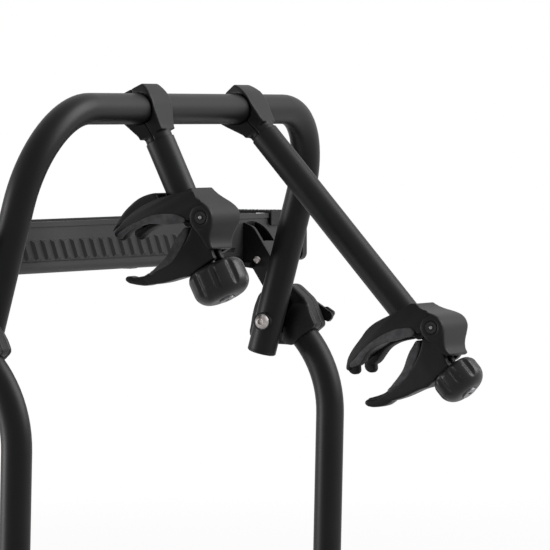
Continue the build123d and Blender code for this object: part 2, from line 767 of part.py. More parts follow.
def make_collar(side, bar, along, mouth):
    """The two halves of the collar and the bolt that draws them together."""
    section = Plane(origin=bar, x_dir=mouth, z_dir=(-1, 0, 0))
    width = Plane(origin=bar, x_dir=(1, 0, 0), z_dir=mouth)
    root = Plane(origin=bar + along * collar_root, x_dir=(1, 0, 0), z_dir=along)
    with BuildPart() as bolt:
        with BuildSketch(Plane(origin=bar + along * clamp_bolt_u, x_dir=(1, 0, 0), z_dir=mouth)):
            Circle(clamp_bolt_d / 2)
        extrude(amount=clamp_bolt_seat)
        with BuildSketch(Plane(origin=bar + along * clamp_bolt_u, x_dir=(1, 0, 0), z_dir=mouth)):
            Circle(clamp_bolt_d / 2)
        extrude(amount=-clamp_bolt_tip)
        seat = Plane(
            origin=bar + along * clamp_bolt_u + mouth * clamp_bolt_seat, x_dir=(1, 0, 0), z_dir=mouth
        )
        with BuildSketch(seat):
            Circle(clamp_head_r)
            RegularPolygon(2.5, 6, major_radius=False, mode=Mode.SUBTRACT)
        extrude(amount=bolt_cap)
    save(bolt.part, f"{side}_clamp_bolt")
    for half, sign in (("front", -1), ("rear", 1)):
        with BuildPart() as collar:
            with BuildSketch(section):
                with BuildLine():
                    if sign < 0:
                        Line((0, -collar_top), (-collar_root_half, -collar_top))
                        ThreePointArc(
                            (-collar_root_half, -collar_top),
                            (0.2 - collar_front_w, -12),
                            (-collar_front_w, 4),
                        )
                        Line((-collar_front_w, 4), (-collar_root_half, collar_root - 4))
                    else:
                        Line((0, -collar_top), (collar_nose - 4, -collar_top))
                        ThreePointArc(
                            (collar_nose - 4, -collar_top),
                            (collar_nose, -collar_top + 3),
                            (collar_nose - 1, -collar_top + 8),
                        )
                        Line((collar_nose - 1, -collar_top + 8), (collar_root_half, collar_root - 4))
                    Line((sign * collar_root_half, collar_root - 4), (sign * collar_root_half, collar_root))
                    Line((sign * collar_root_half, collar_root), (0, collar_root))
                    Line((0, collar_root), (0, -collar_top))
                make_face()
            extrude(amount=collar_half, both=True)
            with BuildSketch(width):
                Polygon(
                    (4 - collar_half, -collar_top - 1),
                    (collar_half - 4, -collar_top - 1),
                    (collar_half, -8),
                    (collar_half, 6),
                    (collar_root_half, collar_root + 1),
                    (-collar_root_half, collar_root + 1),
                    (-collar_half, 6),
                    (-collar_half, -8),
                    align=None,
                )
            extrude(amount=2 * collar_nose, both=True, mode=Mode.INTERSECT)
            for radius, length in ((neck_r, neck_length), (arm_d / 2 - arm_wall, spigot)):
                with BuildSketch(root):
                    Circle(radius)
                    with Locations((0, sign * arm_d)):
                        Rectangle(2 * arm_d, 2 * arm_d, mode=Mode.SUBTRACT)
                extrude(amount=length)
            with BuildSketch(section):
                Circle(bow_d / 2 + running)
            extrude(amount=collar_half, both=True, mode=Mode.SUBTRACT)
            with BuildSketch(seat):
                Circle(clamp_head_r)
            extrude(amount=collar_nose, mode=Mode.SUBTRACT)
            add(bolt.part, mode=Mode.SUBTRACT)
        save(collar.part, f"{side}_collar_{half}")


def make_claw(side, claw, along, mouth, gape, tilt, shim, knob_r, knob_length):
    """The claw's fixed head, its jaw, pads, pivot screw, spindle and knob."""
    plan = Plane(origin=claw.origin, x_dir=(1, 0, 0), z_dir=mouth)
    top = Plane(origin=claw.origin, x_dir=(1, 0, 0), z_dir=-along)
    with BuildPart() as screw:
        with BuildSketch(claw):
            Circle(claw_pin_d / 2)
        extrude(amount=head_half + boss_rise, both=True)
        for face in (-1, 1):
            with BuildSketch(claw.offset(face * (head_half + boss_rise))):
                Circle(screw_head_r)
                RegularPolygon(2.5, 6, major_radius=False, mode=Mode.SUBTRACT)
            extrude(amount=-face * screw_head)
        with BuildSketch(claw.offset(head_half + boss_rise)):
            RegularPolygon(2.5, 6, major_radius=False)
        extrude(amount=-screw_head / 2, mode=Mode.SUBTRACT)
    with BuildPart() as slot:
        with BuildSketch(claw):
            with BuildLine():
                Polyline(
                    (3, -23),
                    (34, -23),
                    (34, 45),
                    (9.8, 45),
                    (9.8, 31),
                    (5.7, 18.5),
                    (-4, 9.5),
                    (-7.5, 2),
                    (-7.5, -8),
                    close=True,
                )
            make_face()
        extrude(amount=cheek_slot, both=True)
    socket = claw.from_local_coords((claw_offset, -tube_in_head, 0))
    with BuildPart() as tube_room:
        with BuildSketch(Plane(origin=socket, x_dir=(1, 0, 0), z_dir=-along)):
            Circle(arm_d / 2)
        extrude(amount=head_top)
    with BuildPart() as notch:
        with BuildSketch(top):
            with Locations((0, notch_start + 20)):
                Rectangle(2 * notch_half, 40)
        extrude(amount=claw_reach, both=True)
    with BuildPart() as wedge:
        with BuildSketch(top):
            Polygon(
                (-head_half, -20),
                (head_half, -20),
                (head_half, 20),
                (tip_half, claw_reach + 1),
                (-tip_half, claw_reach + 1),
                (-head_half, 20),
                align=None,
            )
        extrude(amount=claw_reach, both=True)
    with BuildPart() as head:
        with BuildSketch(claw):
            with BuildLine():
                Line((38, -head_top), (38, -43.5))
                Spline(
                    (38, -43.5),
                    (48.8, -46.2),
                    (60, -46.3),
                    (70, -44),
                    (80, -40.3),
                    (88.4, -35.7),
                    (claw_reach - 0.9, -28),
                )
                Line((claw_reach - 0.9, -28), (94, -29.5))
                Spline((94, -29.5), (82.3, -31.3), (68.4, -30.3), (49.5, -27.8), (32.4, -23.1))
                Spline((32.4, -23.1), (20.2, -18), (11.5, -9.9))
                ThreePointArc((11.5, -9.9), (12.6, 2), (10.5, 12))
                Line((10.5, 12), (10.8, 26))
                Line((10.8, 26), (9.5, 30.5))
                Line((9.5, 30.5), (5, 30.5))
                Spline(
                    (5, 30.5),
                    (1, 18.5),
                    (-9.8, 7.5),
                    (-12.2, -1.5),
                    (-8.5, -11),
                    (-3, -20),
                    (0, -27),
                    (1, -head_top),
                )
                Line((1, -head_top), (38, -head_top))
            make_face()
        extrude(amount=head_half, both=True)
        with BuildSketch(plan):
            Polygon(
                (-head_foot, -50),
                (head_foot, -50),
                (head_foot, -34),
                (head_half, -14),
                (head_half, 8),
                (head_foot, 31),
                (-head_foot, 31),
                (-head_half, 8),
                (-head_half, -14),
                (-head_foot, -34),
                align=None,
            )
        extrude(amount=2 * claw_reach, both=True, mode=Mode.INTERSECT)
        add(wedge.part, mode=Mode.INTERSECT)
        with BuildSketch(claw):
            Circle(boss_r)
        extrude(amount=head_half + boss_rise, both=True)
        add(slot.part, mode=Mode.SUBTRACT)
        add(notch.part, mode=Mode.SUBTRACT)
        add(tube_room.part, mode=Mode.SUBTRACT)
        with BuildSketch(claw):
            Circle(claw_pin_d / 2)
        extrude(amount=head_half + boss_rise, both=True, mode=Mode.SUBTRACT)
        for face in (-1, 1):
            with BuildSketch(claw.offset(face * (head_half + boss_rise))):
                Circle(screw_head_r)
            extrude(amount=-face * screw_head, mode=Mode.SUBTRACT)
    save(head.part, f"{side}_claw_head")
    save(screw.part, f"{side}_claw_screw")
    with BuildPart() as upper_pad:
        with BuildSketch(claw):
            with BuildLine():
                Spline(
                    (13, -4),
                    (24, -9.5),
                    (33, -13.5),
                    (42, -18),
                    (50, -23.5),
                    (60, -26.8),
                    (70, -28),
                    (80, -26.5),
                    (90, -24.5),
                )
                Line((90, -24.5), (claw_reach - 2, -28.6))
                Line((claw_reach - 2, -28.6), (80, -37))
                Line((80, -37), (38, -33))
                Line((38, -33), (37.5, -25.5))
                Line((37.5, -25.5), (18, -21))
                Line((18, -21), (11, -13))
                Line((11, -13), (13, -4))
            make_face()
        extrude(amount=head_half, both=True)
        add(wedge.part, mode=Mode.INTERSECT)
        add(slot.part, mode=Mode.SUBTRACT)
        add(notch.part, mode=Mode.SUBTRACT)
        add(tube_room.part, mode=Mode.SUBTRACT)
        add(head.part, mode=Mode.SUBTRACT)
    save(upper_pad.part, f"{side}_upper_pad")

    hinge = turned(claw, gape)
    jaw_top = Plane(origin=claw.origin, x_dir=(1, 0, 0), z_dir=-hinge.y_dir)
    with BuildPart() as jaw_slot:
        with BuildSketch(hinge):
            with Locations((21.5, 10)):
                Rectangle(24, 70)
        extrude(amount=spindle_d / 2 + 0.6, both=True)
    with BuildPart() as jaw:
        with BuildSketch(hinge):
            Circle(knuckle_r)
            with BuildLine():
                Line((0, -knuckle_r), (22, -3.5))
                Line((22, -3.5), (30, 2.5))
                Spline((30, 2.5), (37.8, 6.3), (54.3, 10.5), (68, 11.8), (77.7, 11.2))
                Spline((77.7, 11.2), (94, 7.9), (104, 3.2), (107.5, 1.3))
                Line((107.5, 1.3), (109.5, 4.5))
                Spline(
                    (109.5, 4.5),
                    (104, 10),
                    (95, 17),
                    (84, 23),
                    (73, 27.5),
                    (60, 31.5),
                    (50, heel),
                )
                Line((50, heel), (17, heel))
                Line((17, heel), (17, 30))
                Line((17, 30), (11, 17))
                Line((11, 17), (5, 4.9))
                Line((5, 4.9), (0, -knuckle_r))
            make_face()
        extrude(amount=jaw_half, both=True)
        with BuildSketch(jaw_top):
            Polygon(
                (-jaw_half, -20),
                (jaw_half, -20),
                (jaw_half, 38),
                (jaw_tip_half, 112),
                (-jaw_tip_half, 112),
                (-jaw_half, 38),
                align=None,
            )
        extrude(amount=claw_reach, both=True, mode=Mode.INTERSECT)
        add(jaw_slot.part, mode=Mode.SUBTRACT)
        with BuildSketch(hinge):
            Circle(claw_pin_d / 2 + running)
        extrude(amount=jaw_half, both=True, mode=Mode.SUBTRACT)
    save(jaw.part, f"{side}_jaw")
    with BuildPart() as jaw_pad:
        with BuildSketch(hinge):
            with BuildLine():
                Spline((26, -2.3), (36.4, -0.2), (50.7, 4.2), (66.2, 9.6), (77.7, 10.8))
                Line((77.7, 10.8), (76, 17))
                Line((76, 17), (56, 17))
                Line((56, 17), (30, 7))
                Line((30, 7), (26, -2.3))
            make_face()
        extrude(amount=jaw_pad_half, both=True)
        add(jaw_slot.part, mode=Mode.SUBTRACT)
        add(jaw.part, mode=Mode.SUBTRACT)
    save(jaw_pad.part, f"{side}_jaw_pad")
    barrel = hinge.from_local_coords((claw_offset, barrel_u, 0))
    leaning = turned(Plane(origin=barrel, x_dir=hinge.x_dir, z_dir=hinge.z_dir), -tilt)
    rod = Plane(origin=barrel, x_dir=(1, 0, 0), z_dir=leaning.y_dir)
    with BuildPart() as spindle:
        with BuildSketch(leaning):
            Circle(barrel_r)
        extrude(amount=barrel_half, both=True)
        with BuildSketch(rod):
            Circle(spindle_d / 2)
        extrude(amount=heel + shim + knob_length - lock_depth - 1 - barrel_u)
    save(spindle.part, f"{side}_spindle")

    face = rod.offset(heel + gap + shim - barrel_u)
    round_plane = Plane(origin=face.origin, x_dir=leaning.x_dir, z_dir=leaning.z_dir)
    with BuildPart() as knob:
        with BuildSketch(face):
            Circle(knob_r)
            with PolarLocations(knob_r + 1, knob_lobes):
                Circle(groove_r, mode=Mode.SUBTRACT)
        extrude(amount=knob_length)
        with BuildSketch(round_plane):
            with BuildLine():
                Line((0, 0), (knob_r - 7, 0))
                ThreePointArc((knob_r - 7, 0), (knob_r - 1.8, 3), (knob_r, 9))
                Line((knob_r, 9), (knob_r, knob_length - knob_round))
                ThreePointArc(
                    (knob_r, knob_length - knob_round),
                    (knob_r - 0.3 * knob_round, knob_length - 0.3 * knob_round),
                    (knob_r - knob_round, knob_length),
                )
                Line((knob_r - knob_round, knob_length), (0, knob_length))
                Line((0, knob_length), (0, 0))
            make_face()
        revolve(axis=Axis(face.origin, face.z_dir), mode=Mode.INTERSECT)
        with BuildSketch(face):
            Circle(spindle_d / 2 + running)
        extrude(amount=knob_length - lock_depth - 1 + gap, mode=Mode.SUBTRACT)
        with BuildSketch(face.offset(knob_length)):
            Circle(lock_r)
        extrude(amount=-lock_depth, mode=Mode.SUBTRACT)
    save(knob.part, f"{side}_knob")
    with BuildPart() as lock:
        with BuildSketch(face.offset(knob_length - lock_depth)):
            Circle(lock_r)
        extrude(amount=lock_depth + 1.5)
        with BuildSketch(face.offset(knob_length + 1.5)):
            Rectangle(8, 1.6)
            Circle(1.8)
        extrude(amount=-4, mode=Mode.SUBTRACT)
    save(lock.part, f"{side}_knob_lock")


def make_arm(side, x, angle, reach, gape, tilt, shim, knob_r, knob_length):
    swing = radians(angle)
    along = Vector(0, -sin(swing), -cos(swing))
    mouth = Vector(0, cos(swing), -sin(swing))
    bar = bow_plane.from_local_coords(Vector(x, bow_length, 0))
    make_collar(side, bar, along, mouth)
    with BuildPart() as tube:
        tube_start = collar_root + neck_length
        with BuildSketch(Plane(origin=bar + along * tube_start, x_dir=(1, 0, 0), z_dir=along)):
            Circle(arm_d / 2)
            Circle(arm_d / 2 - arm_wall, mode=Mode.SUBTRACT)
        extrude(amount=reach - tube_in_head - tube_start)
    save(tube.part, f"{side}_arm_tube")
    claw = Plane(origin=bar + along * reach - mouth * claw_offset, x_dir=mouth, z_dir=(-1, 0, 0))
    make_claw(side, claw, along, mouth, gape, tilt, shim, knob_r, knob_length)


make_arm("short", -90.0, 25.3, 125.0, 7.5, 6.4, 2.6, short_knob_r, short_knob_length)
make_arm("long", 122.0, 41.5, 305.0, 0.0, 0.0, 0.0, long_knob_r, long_knob_length)
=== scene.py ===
# %% [markdown]
# # A rear-door bicycle carrier
# The carrier is almost all black: coated steel tubes, grained plastic clamps and housings, dark trays,
# a few bright bolts. Black things only show their form through their gloss, so this lesson is about
# roughness, small bumps and soft light. The solids come ready made, and stay where they are.

# %% Load the solids
from math import cos, hypot, pi, radians, sin

import bpy
from mathutils import Matrix, Vector


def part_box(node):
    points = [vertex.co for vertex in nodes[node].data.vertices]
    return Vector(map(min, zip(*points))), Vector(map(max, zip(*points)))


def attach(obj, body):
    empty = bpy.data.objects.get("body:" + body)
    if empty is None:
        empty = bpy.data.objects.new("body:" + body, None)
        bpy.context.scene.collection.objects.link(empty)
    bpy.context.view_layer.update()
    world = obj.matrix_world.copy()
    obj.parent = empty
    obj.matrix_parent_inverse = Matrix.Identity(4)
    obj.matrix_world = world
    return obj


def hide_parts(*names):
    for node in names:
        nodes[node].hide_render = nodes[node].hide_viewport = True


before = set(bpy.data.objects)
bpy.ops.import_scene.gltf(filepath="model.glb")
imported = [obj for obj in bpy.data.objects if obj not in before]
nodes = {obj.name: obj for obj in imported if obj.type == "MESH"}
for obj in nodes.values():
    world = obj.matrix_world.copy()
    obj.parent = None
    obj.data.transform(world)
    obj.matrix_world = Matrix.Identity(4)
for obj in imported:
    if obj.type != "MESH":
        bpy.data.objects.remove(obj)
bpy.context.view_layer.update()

# %% [markdown]
# ## Camera
# The photo was taken with a long lens from the vehicle's side of the carrier, level with the hubs and
# slightly above them. Its frame is 550 pixels wide. A lens of `focal_px` pixels is turned into
# millimetres on a 36 mm sensor. The camera stands far away, so the trays shrink only a little.

# %% Camera
photo_side = 550
focal_px = 5100
view_yaw = radians(64)
view_pitch = radians(1.8)
camera_place = Vector((-4.451, -2.252, 0.544))
look = Vector((sin(view_yaw) * cos(view_pitch), cos(view_yaw) * cos(view_pitch), -sin(view_pitch)))
bpy.ops.object.camera_add(location=camera_place)
camera = bpy.context.object
camera.data.lens = focal_px / photo_side * camera.data.sensor_width
camera.rotation_mode = "QUATERNION"
camera.rotation_quaternion = look.to_track_quat("-Z", "Y")
camera.data.clip_start = 0.1
camera.data.clip_end = 100
bpy.context.scene.camera = camera
print("lens:", round(camera.data.lens, 1), "mm")

# %% [markdown]
# ## Studio
# The photo is a cut-out on white. Its black parts are shown by two soft lights: a large one high on the
# right, that draws a broad stripe along every tube, and a smaller one level with the hubs on the left,
# that draws the other edge of the upright tubes. The world is white to the camera and in reflections,
# and gives only a calm level to everything else.

# %% World
scene = bpy.context.scene
scene.view_settings.view_transform = "Standard"
world_light = 0.2
world = bpy.data.worlds.new("studio_world")
scene.world = world
world.use_nodes = True


def seen_directly(tree):
    """1 for rays from the camera, a mirror or glass, 0 for all others."""
    path = tree.nodes.new("ShaderNodeLightPath")
    seen = path.outputs["Is Camera Ray"]
    for ray in ("Is Glossy Ray", "Is Transmission Ray"):
        either = tree.nodes.new("ShaderNodeMath")
        either.operation = "MAXIMUM"
        tree.links.new(seen, either.inputs[0])
        tree.links.new(path.outputs[ray], either.inputs[1])
        seen = either.outputs[0]
    return seen


world_tree = world.node_tree
background = world_tree.nodes["Background"]
level = world_tree.nodes.new("ShaderNodeMix")
level.inputs["A"].default_value = world_light
level.inputs["B"].default_value = 1.0
world_tree.links.new(seen_directly(world_tree), level.inputs["Factor"])
world_tree.links.new(level.outputs["Result"], background.inputs["Strength"])
background.inputs["Color"].default_value = (1, 1, 1, 1)

# %% [markdown]
# ## Lamps
# Both lamps are placed as the camera sees them: towards it, to its right and up from the middle of the
# carrier. Their distances, sizes and power were tuned until the stripes on the tubes fell where the
# photo has them.

# %% Lamps
centre = Vector((0.0, 0.0, 0.40))
to_camera = Vector((-sin(view_yaw), -cos(view_yaw), 0))
to_right = Vector((cos(view_yaw), -sin(view_yaw), 0))


def soft_box(name, forward, right, up, size, power):
    """A square soft light aimed at the carrier's middle, placed as the camera sees it."""
    place = centre + forward * to_camera + right * to_right + up * Vector((0, 0, 1))
    bpy.ops.object.light_add(type="AREA", location=place)
    lamp = bpy.context.object
    lamp.name = name
    lamp.data.shape = "SQUARE"
    lamp.data.size = size
    lamp.data.energy = power
    lamp.rotation_mode = "QUATERNION"
    lamp.rotation_quaternion = (centre - place).to_track_quat("-Z", "Y")
    return lamp


lamps = (
    soft_box("right_box", forward=-0.15, right=2.4, up=1.5, size=2.0, power=105),
    soft_box("left_box", forward=0.0, right=-2.4, up=0.0, size=0.9, power=50),
)
print("lamps:", [(lamp.name, round((lamp.location - centre).length, 2)) for lamp in lamps])

# %% [markdown]
# ## Floor
# The floor is a plain white sheet. Most of its white is its own, so that it matches the surround, and the
# rest comes from the lamps and carries the soft shadow. Far from the carrier, where the lamps no longer
# reach, it becomes wholly its own white, so there is no horizon.

# %% Floor
floor_size = 60.0
shadow_share = 0.14
fade_near = 0.8
fade_far = 2.6
floor_white = (0.85, 0.85, 0.85, 1)
floor_gap = 0.002
floor_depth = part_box("rest_pad")[0].z - floor_gap
bpy.ops.mesh.primitive_plane_add(size=floor_size, location=(0, 0, floor_depth))
floor = bpy.context.object
floor.name = "studio_floor"
floor_material = bpy.data.materials.new("studio_floor")
floor.data.materials.append(floor_material)
floor_material.use_nodes = True
floor_tree = floor_material.node_tree
floor_tree.nodes.clear()
floor_output = floor_tree.nodes.new("ShaderNodeOutputMaterial")
floor_paint = floor_tree.nodes.new("ShaderNodeBsdfDiffuse")
floor_paint.inputs["Color"].default_value = floor_white
floor_glow = floor_tree.nodes.new("ShaderNodeEmission")
floor_mix = floor_tree.nodes.new("ShaderNodeMixShader")
floor_place = floor_tree.nodes.new("ShaderNodeTexCoord")
floor_distance = floor_tree.nodes.new("ShaderNodeVectorMath")
floor_distance.operation = "LENGTH"
floor_fade = floor_tree.nodes.new("ShaderNodeMapRange")
floor_fade.inputs["From Min"].default_value = fade_near
floor_fade.inputs["From Max"].default_value = fade_far
floor_fade.inputs["To Min"].default_value = 1 - shadow_share
floor_fade.inputs["To Max"].default_value = 1.0
floor_share = floor_tree.nodes.new("ShaderNodeMath")
floor_share.operation = "MULTIPLY"
floor_tree.links.new(floor_place.outputs["Object"], floor_distance.inputs[0])
floor_tree.links.new(floor_distance.outputs["Value"], floor_fade.inputs["Value"])
floor_tree.links.new(floor_fade.outputs["Result"], floor_share.inputs[0])
floor_tree.links.new(seen_directly(floor_tree), floor_share.inputs[1])
floor_tree.links.new(floor_share.outputs[0], floor_mix.inputs["Fac"])
floor_tree.links.new(floor_paint.outputs[0], floor_mix.inputs[1])
floor_tree.links.new(floor_glow.outputs[0], floor_mix.inputs[2])
floor_tree.links.new(floor_mix.outputs[0], floor_output.inputs["Surface"])
print("floor at", round(floor_depth, 3))

# %% [markdown]
# ## Writing shader maths
# A finish is easier to read as a formula than as a list of links. `Wire` wraps one output of a node and
# turns `+` and `*` into Math nodes.


# %% Wire
class Wire:
    """One node output that can be used in sums."""

    def __init__(self, finish, socket):
        self.finish = finish
        self.socket = socket

    def maths(self, operation, first, second):
        return self.finish.add("ShaderNodeMath", {"operation": operation}, {0: first, 1: second})

    def __add__(self, other):
        return self.maths("ADD", self, other)

    def __radd__(self, other):
        return self.maths("ADD", other, self)

    def __mul__(self, other):
        return self.maths("MULTIPLY", self, other)


# %% [markdown]
# ## One material
# `Finish` is one material. Its `add` makes any node from its type, its settings and its inputs, and the
# other methods are the patterns that the finishes share.


# %% Finish
class Finish:
    """A material for one of the carrier's surfaces."""

    def __init__(self, name):
        self.material = bpy.data.materials.new(name)
        self.material.use_nodes = True
        self.tree = self.material.node_tree
        self.shader = self.tree.nodes["Principled BSDF"]

    def add(self, kind, settings=None, inputs=None, output=0):
        node = self.tree.nodes.new(kind)
        for key, value in (settings or {}).items():
            if key == "stops":
                self.set_stops(node.color_ramp, value)
            else:
                setattr(node, key, value)
        for key, value in (inputs or {}).items():
            self.feed(node.inputs[key], value)
        return Wire(self, node.outputs[output])

    def feed(self, socket, value):
        if isinstance(value, Wire):
            self.tree.links.new(value.socket, socket)
        else:
            socket.default_value = value

    def set_stops(self, ramp, stops):
        while len(ramp.elements) < len(stops):
            ramp.elements.new(0.5)
        for element, (place, colour) in zip(ramp.elements, stops):
            element.position = place
            element.color = (*colour, 1)

    def place(self, scale=(1, 1, 1)):
        """Object coordinates, stretched."""
        here = self.add("ShaderNodeTexCoord", output="Object")
        return self.add("ShaderNodeMapping", {}, {"Vector": here, "Scale": scale})

    def noise(self, size_mm, detail, where=None):
        """Cloudy noise whose blotches are about size_mm across."""
        inputs = {"Vector": where or self.place(), "Scale": 1000 / size_mm, "Detail": detail}
        return self.add("ShaderNodeTexNoise", {}, inputs)

    def ramp(self, factor, *stops):
        return self.add("ShaderNodeValToRGB", {"stops": stops}, {"Fac": factor})

    def mottled(self, factor, tint, shades, stops):
        """The tint from its darker to its lighter shade, as the factor goes from stop to stop."""
        first, last = (tuple(value * shade for value in tint) for shade in shades)
        return self.ramp(factor, (stops[0], first), (stops[1], last))

    def rounded_edges(self, radius_mm):
        """A normal that rounds sharp edges by eye."""
        return self.add("ShaderNodeBevel", {"samples": 4}, {"Radius": radius_mm / 1000})

    def bump(self, height, depth_mm, strength, under):
        """A bump over another normal."""
        inputs = {"Height": height, "Distance": depth_mm / 1000, "Strength": strength, "Normal": under}
        return self.add("ShaderNodeBump", {}, inputs)

    def set(self, **inputs):
        for key, value in inputs.items():
            self.feed(self.shader.inputs[key.replace("_", " ")], value)


# %% [markdown]
# ## Powder-coated steel
# The bow, the lower frame, the arms and the brackets are steel under black powder coat. The powder melts
# into a skin with a very fine orange-peel texture. It is matt enough that a lamp becomes a broad soft
# stripe along the tube, and a few rubbed places are slightly smoother. Its reflections are weak, as are
# those of the plastic and the rubber.

# %% Powder coat
dull_shine = 0.15


def powder_coat(name, tint):
    coat = Finish(name)
    patches = coat.noise(60, 3)
    peel = coat.noise(0.9, 2)
    coat.set(
        Base_Color=coat.mottled(patches, tint, shades=(0.8, 1.25), stops=(0.35, 0.7)),
        Roughness=0.36 + patches * 0.10 + peel * 0.06,
        Specular_IOR_Level=dull_shine,
        Normal=coat.bump(peel, 0.05, 0.5, coat.rounded_edges(0.6)),
    )
    return coat.material


bow_coat = powder_coat("bow_coat", (0.0058, 0.0052, 0.0056))
frame_coat = powder_coat("frame_coat", (0.0060, 0.0053, 0.0055))
arm_coat = powder_coat("arm_coat", (0.0068, 0.0070, 0.0070))
bracket_coat = powder_coat("bracket_coat", (0.0050, 0.0050, 0.0053))
print("coats:", bow_coat.name, frame_coat.name, arm_coat.name, bracket_coat.name)

# %% [markdown]
# ## Moulded plastic
# Clamp heads, jaws, collars, hubs and knobs are glass-filled plastic from a spark-eroded mould. That
# leaves an even, pebbled grain of about a quarter of a millimetre, a greyer sheen than the tubes, and
# slow waves where the plastic cooled unevenly.


# %% Plastic
def moulded_plastic(name, tint, gloss, grain=0.5, edge_mm=1.2, shine=dull_shine):
    plastic = Finish(name)
    flow = plastic.noise(45, 3)
    pebble = plastic.noise(grain, 3)
    handled = plastic.noise(9, 4)
    waves = flow * 0.6 + handled * 0.4
    plastic.set(
        Base_Color=plastic.mottled(waves, tint, shades=(0.8, 1.3), stops=(0.35, 0.68)),
        Roughness=gloss + flow * 0.08 + pebble * 0.08,
        Specular_IOR_Level=shine,
        Normal=plastic.bump(pebble, 0.06, 0.6, plastic.rounded_edges(edge_mm)),
    )
    return plastic.material


housing_plastic = moulded_plastic("housing_plastic", (0.0055, 0.0055, 0.0058), 0.36)
claw_plastic = moulded_plastic("claw_plastic", (0.0055, 0.0055, 0.0060), 0.36, grain=0.6, edge_mm=1.8)
knob_plastic = moulded_plastic("knob_plastic", (0.0070, 0.0070, 0.0075), 0.30, edge_mm=1.4, shine=0.22)
print("plastics:", housing_plastic.name, claw_plastic.name, knob_plastic.name)

# %% [markdown]
# ## Dark aluminium trays
# The trays are drawn through a die and anodised black, so fine lines run along their whole length. The
# lines are noise squeezed to almost nothing across the tray and stretched along it.


# %% Anodised trays
def anodised(name, tint):
    metal = Finish(name)
    lines = metal.noise(1.2, 3, metal.place((0.004, 1, 1)))
    patches = metal.noise(50, 3)
    streaks = lines * 0.5 + patches * 0.5
    metal.set(
        Base_Color=metal.mottled(streaks, tint, shades=(0.85, 1.2), stops=(0.35, 0.68)),
        Metallic=0.3,
        Roughness=0.44 + lines * 0.14 + patches * 0.06,
        Normal=metal.bump(lines, 0.04, 0.5, metal.rounded_edges(0.5)),
    )
    return metal.material


tray_metal = anodised("tray_metal", (0.0100, 0.0096, 0.0104))
print("trays:", tray_metal.name)

# %% [markdown]
# ## Rubber
# The claws' pads are a dark grey rubber, lighter than anything round it, and the liners inside the claws'
# mouths are painted near-black as painted shade. The rest pad and the straps are blacker. Rubber is dull,
# and picks up a faint dust.


# %% Rubber
def rubber(name, tint, dull):
    soft = Finish(name)
    dust = soft.noise(7, 5)
    skin = soft.noise(0.7, 2)
    soft.set(
        Base_Color=soft.mottled(dust, tint, shades=(0.8, 1.3), stops=(0.38, 0.66)),
        Roughness=dull + dust * 0.14,
        Specular_IOR_Level=dull_shine,
        Normal=soft.bump(skin, 0.05, 0.5, soft.rounded_edges(1.0)),
    )
    return soft.material


pad_rubber = rubber("pad_rubber", (0.060, 0.060, 0.063), 0.6)
# Near-black: the finger toes' own rubber, and painted shade on the finger liners inside the mouths.
toe_rubber = rubber("toe_rubber", (0.0075, 0.0075, 0.0080), 0.6)
rest_rubber = rubber("rest_rubber", (0.014, 0.014, 0.0145), 0.72)
strap_rubber = rubber("strap_rubber", (0.014, 0.014, 0.0145), 0.55)
print("rubbers:", pad_rubber.name, toe_rubber.name, rest_rubber.name, strap_rubber.name)

# %% [markdown]
# ## Bare and blackened metal
# Bolts and rivets are zinc plated and bright, with a faint cloudiness and turning marks. The clamp
# screws and tray bolts are blackened, which leaves a soft dark metal that shines at its edges.


# %% Metals
def bright_steel(name, tint, rough):
    steel = Finish(name)
    clouds = steel.noise(3, 4)
    marks = steel.noise(0.35, 2, steel.place((12, 1, 1)))
    steel.set(
        Base_Color=steel.mottled(clouds, tint, shades=(0.78, 1.0), stops=(0.35, 0.65)),
        Metallic=1.0,
        Roughness=rough + clouds * 0.16 + marks * 0.06,
        Normal=steel.bump(marks, 0.03, 0.4, steel.rounded_edges(0.4)),
    )
    return steel.material


zinc_steel = bright_steel("zinc_steel", (0.42, 0.39, 0.38), 0.3)
black_steel = bright_steel("black_steel", (0.030, 0.029, 0.029), 0.34)
# Bright metal for the knob locks, and painted highlight for the glints on the claw screws.
lock_metal = bright_steel("lock_metal", (0.24, 0.24, 0.25), 0.3)
print("metals:", zinc_steel.name, black_steel.name, lock_metal.name)

# %% [markdown]
# ## Dressing the solids
# Every solid gets its finish by the start of its name. The list is read from the top, and the first
# match counts.

# %% Finishes on the solids
finishes = (
    ("bow_tube", bow_coat),
    ("lower_frame_tube", frame_coat),
    ("bracket_rivets", zinc_steel),
    ("bracket_", bracket_coat),
    ("link_rail", bracket_coat),
    ("short_arm_tube", arm_coat),
    ("long_arm_tube", arm_coat),
    ("tray_bolts", black_steel),
    ("tray_caps", housing_plastic),
    ("tray_", tray_metal),
    ("pivot_", zinc_steel),
    ("lever_pins", zinc_steel),
    ("lever_grip", housing_plastic),
    ("lever_", black_steel),
    ("buckle_pins", zinc_steel),
    ("buckle_", housing_plastic),
    ("wheel_straps", strap_rubber),
    ("rest_pad", rest_rubber),
    ("hub_", housing_plastic),
    ("leg_", housing_plastic),
)
arm_finishes = (
    ("knob_lock", lock_metal),
    ("knob", knob_plastic),
    ("spindle", black_steel),
    ("clamp_bolt", black_steel),
    ("claw_screw", black_steel),
    ("upper_pad", pad_rubber),
    ("jaw_pad", pad_rubber),
    ("collar", housing_plastic),
    ("claw_head", claw_plastic),
    ("jaw", claw_plastic),
)


def finish_of(name):
    """The first finish whose start fits the solid's name."""
    for start, material in finishes:
        if name.startswith(start):
            return material
    piece_of_arm = name.split("_", 1)[1]
    return next(material for start, material in arm_finishes if piece_of_arm.startswith(start))


for name, solid in nodes.items():
    solid.data.materials.clear()
    solid.data.materials.append(finish_of(name))
print("finishes:", sorted({finish_of(name).name for name in nodes}))

# %% [markdown]
# ## Soft moulded edges
# Every edge of a moulded part is rounded, or it would crack the mould and cut the hand. Beveling the solids
# edge by edge fails where three curved faces meet. So the solid is welded, wrapped in a fine skin of equal
# squares, relaxed until its edges are round, and thinned to the faces that its curves need.

# %% Moulded edges
merge_gap = 1e-5


